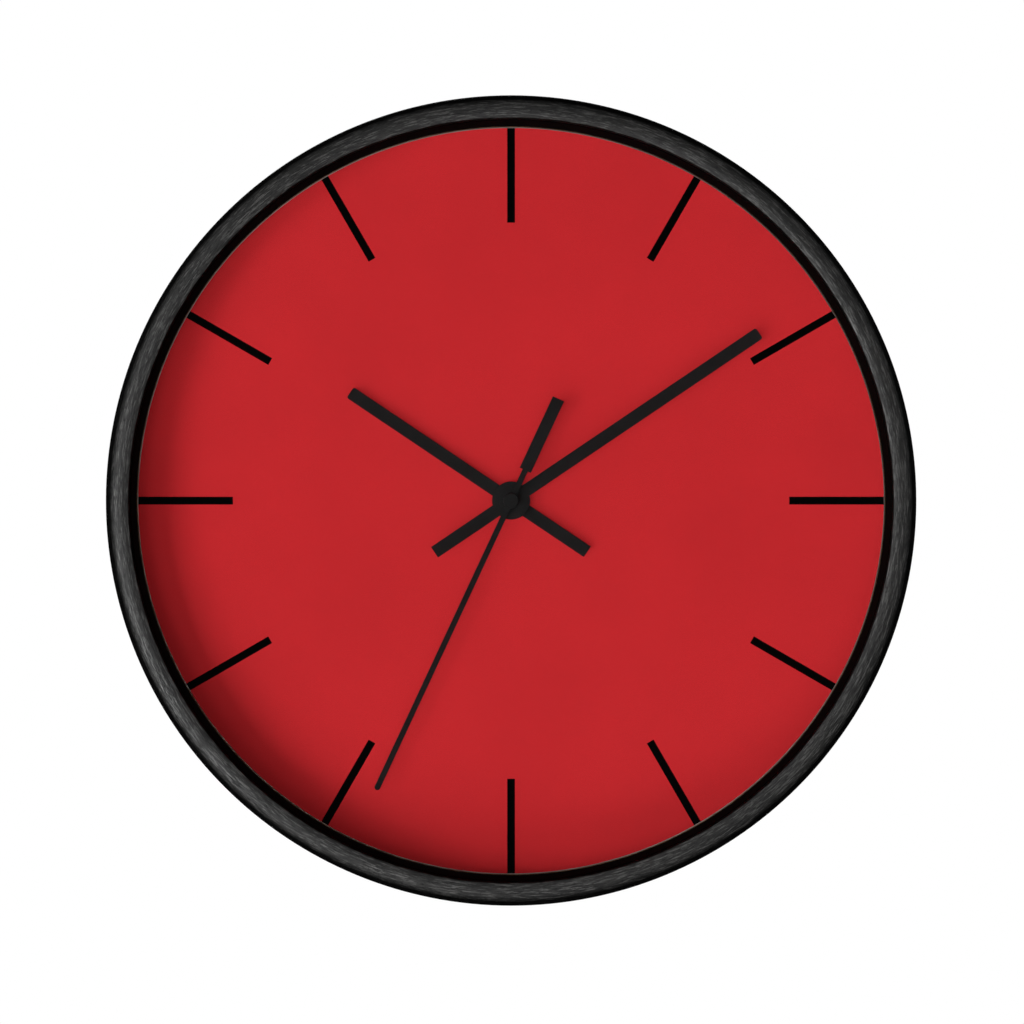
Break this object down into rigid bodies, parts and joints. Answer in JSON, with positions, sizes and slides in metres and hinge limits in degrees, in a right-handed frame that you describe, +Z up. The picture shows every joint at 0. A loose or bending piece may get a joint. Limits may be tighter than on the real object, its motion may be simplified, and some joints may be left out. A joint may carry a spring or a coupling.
{
  "type": "wall clock",
  "caption": "Round battery wall clock: black wood ring, red dial with bar marks, flat hands, and a quartz movement with its hanger on the back.",
  "frame": {"origin": "the point on the wall plane at the top of the hanger's nail slot, on the clock's centre line", "axes": "+Z up, +X to the right and -Y towards the viewer for someone who faces the dial; +Y points into the wall"},
  "size_m": [0.254, 0.04, 0.254],
  "materials": {
    "black_wood": "black stain, satin",
    "clear_acrylic": "clear, polished",
    "black_card": "matte",
    "red_dial": "matte print",
    "hardboard": "pressed hardboard",
    "zinc_steel": "zinc plated",
    "spring_steel": "nickel plated",
    "black_rubber": "matte",
    "brass": "turned",
    "black_plastic": "moulded, fine texture",
    "grey_plastic": "moulded",
    "white_acetal": "moulded, smooth",
    "soft_iron": "stamped",
    "magnet_ferrite": "ground",
    "enamelled_copper": "enamelled wire",
    "green_laminate": "solder mask",
    "black_epoxy": "cured drop",
    "cell_sleeve": "printed sleeve",
    "black_aluminium": "matte black paint"
  },
  "bodies": {
    "clock_body": {"wood_frame": "black_wood", "lens": "clear_acrylic", "spacer_ring": "black_card", "dial": "red_dial", "back_board": "hardboard", "retaining_point_1": "zinc_steel", "retaining_point_2": "zinc_steel", "retaining_point_3": "zinc_steel", "retaining_point_4": "zinc_steel", "retaining_point_5": "zinc_steel", "retaining_point_6": "zinc_steel", "hanger_bracket": "zinc_steel", "rubber_washer": "black_rubber", "metal_washer": "brass", "round_nut": "brass", "movement_front_case": "black_plastic", "movement_rear_cover": "black_plastic", "mid_plate": "grey_plastic", "train_bridge": "grey_plastic", "stator_left": "soft_iron", "stator_right": "soft_iron", "coil_core": "soft_iron", "coil_bobbin": "white_acetal", "coil_winding": "enamelled_copper", "circuit_board": "green_laminate", "control_chip": "black_epoxy", "quartz_crystal": "spring_steel", "positive_contact": "spring_steel", "negative_contact": "spring_steel"},
    "seconds": {"second_wheel": "white_acetal", "second_hand": "black_aluminium", "second_hand_cap": "black_aluminium"},
    "rotor": {"rotor_pinion": "white_acetal", "rotor_magnet": "magnet_ferrite"},
    "intermediate": {"intermediate_wheel": "white_acetal"},
    "third": {"third_wheel": "white_acetal"},
    "minutes": {"centre_wheel": "white_acetal", "minute_hand": "black_aluminium"},
    "motion": {"motion_wheel": "white_acetal"},
    "hours": {"hour_wheel": "white_acetal", "hour_hand": "black_aluminium"},
    "knob": {"setting_knob": "grey_plastic", "setting_pinion": "white_acetal"},
    "cell": {"battery_cell": "cell_sleeve"}
  },
  "joints": [
    {"name": "second_hand_turn", "type": "hinge", "parent": "clock_body", "child": "seconds", "pos_m": [0, 0, -0.04], "axis": [0, 1, 0], "continuous": true},
    {"name": "rotor_spin", "type": "hinge", "parent": "clock_body", "child": "rotor", "pos_m": [0.01023, 0, -0.02992], "axis": [0, 1, 0], "continuous": true},
    {"name": "intermediate_spin", "type": "hinge", "parent": "clock_body", "child": "intermediate", "pos_m": [0.00156, 0, -0.03114], "axis": [0, 1, 0], "continuous": true},
    {"name": "third_wheel_spin", "type": "hinge", "parent": "clock_body", "child": "third", "pos_m": [-0.0102, 0, -0.04], "axis": [0, 1, 0], "continuous": true},
    {"name": "minute_hand_turn", "type": "hinge", "parent": "clock_body", "child": "minutes", "pos_m": [0, 0, -0.04], "axis": [0, 1, 0], "continuous": true},
    {"name": "motion_wheel_spin", "type": "hinge", "parent": "clock_body", "child": "motion", "pos_m": [0.0075, 0, -0.04], "axis": [0, 1, 0], "continuous": true},
    {"name": "hour_hand_turn", "type": "hinge", "parent": "clock_body", "child": "hours", "pos_m": [0, 0, -0.04], "axis": [0, 1, 0], "continuous": true},
    {"name": "setting_knob_turn", "type": "hinge", "parent": "clock_body", "child": "knob", "pos_m": [0.01498, 0, -0.04052], "axis": [0, 1, 0], "continuous": true},
    {"name": "cell_removal", "type": "slide", "parent": "clock_body", "child": "cell", "axis": [0, 1, 0], "range_m": [0, 0.02]}
  ],
  "couplings": [
    {"joint": "rotor_spin", "follows": "second_hand_turn", "ratio": 30},
    {"joint": "intermediate_spin", "follows": "second_hand_turn", "ratio": -5},
    {"joint": "third_wheel_spin", "follows": "second_hand_turn", "ratio": -0.13333},
    {"joint": "minute_hand_turn", "follows": "second_hand_turn", "ratio": 0.016667},
    {"joint": "motion_wheel_spin", "follows": "second_hand_turn", "ratio": -0.0055556},
    {"joint": "hour_hand_turn", "follows": "second_hand_turn", "ratio": 0.0013889},
    {"joint": "setting_knob_turn", "follows": "second_hand_turn", "ratio": 0.016667}
  ]
}
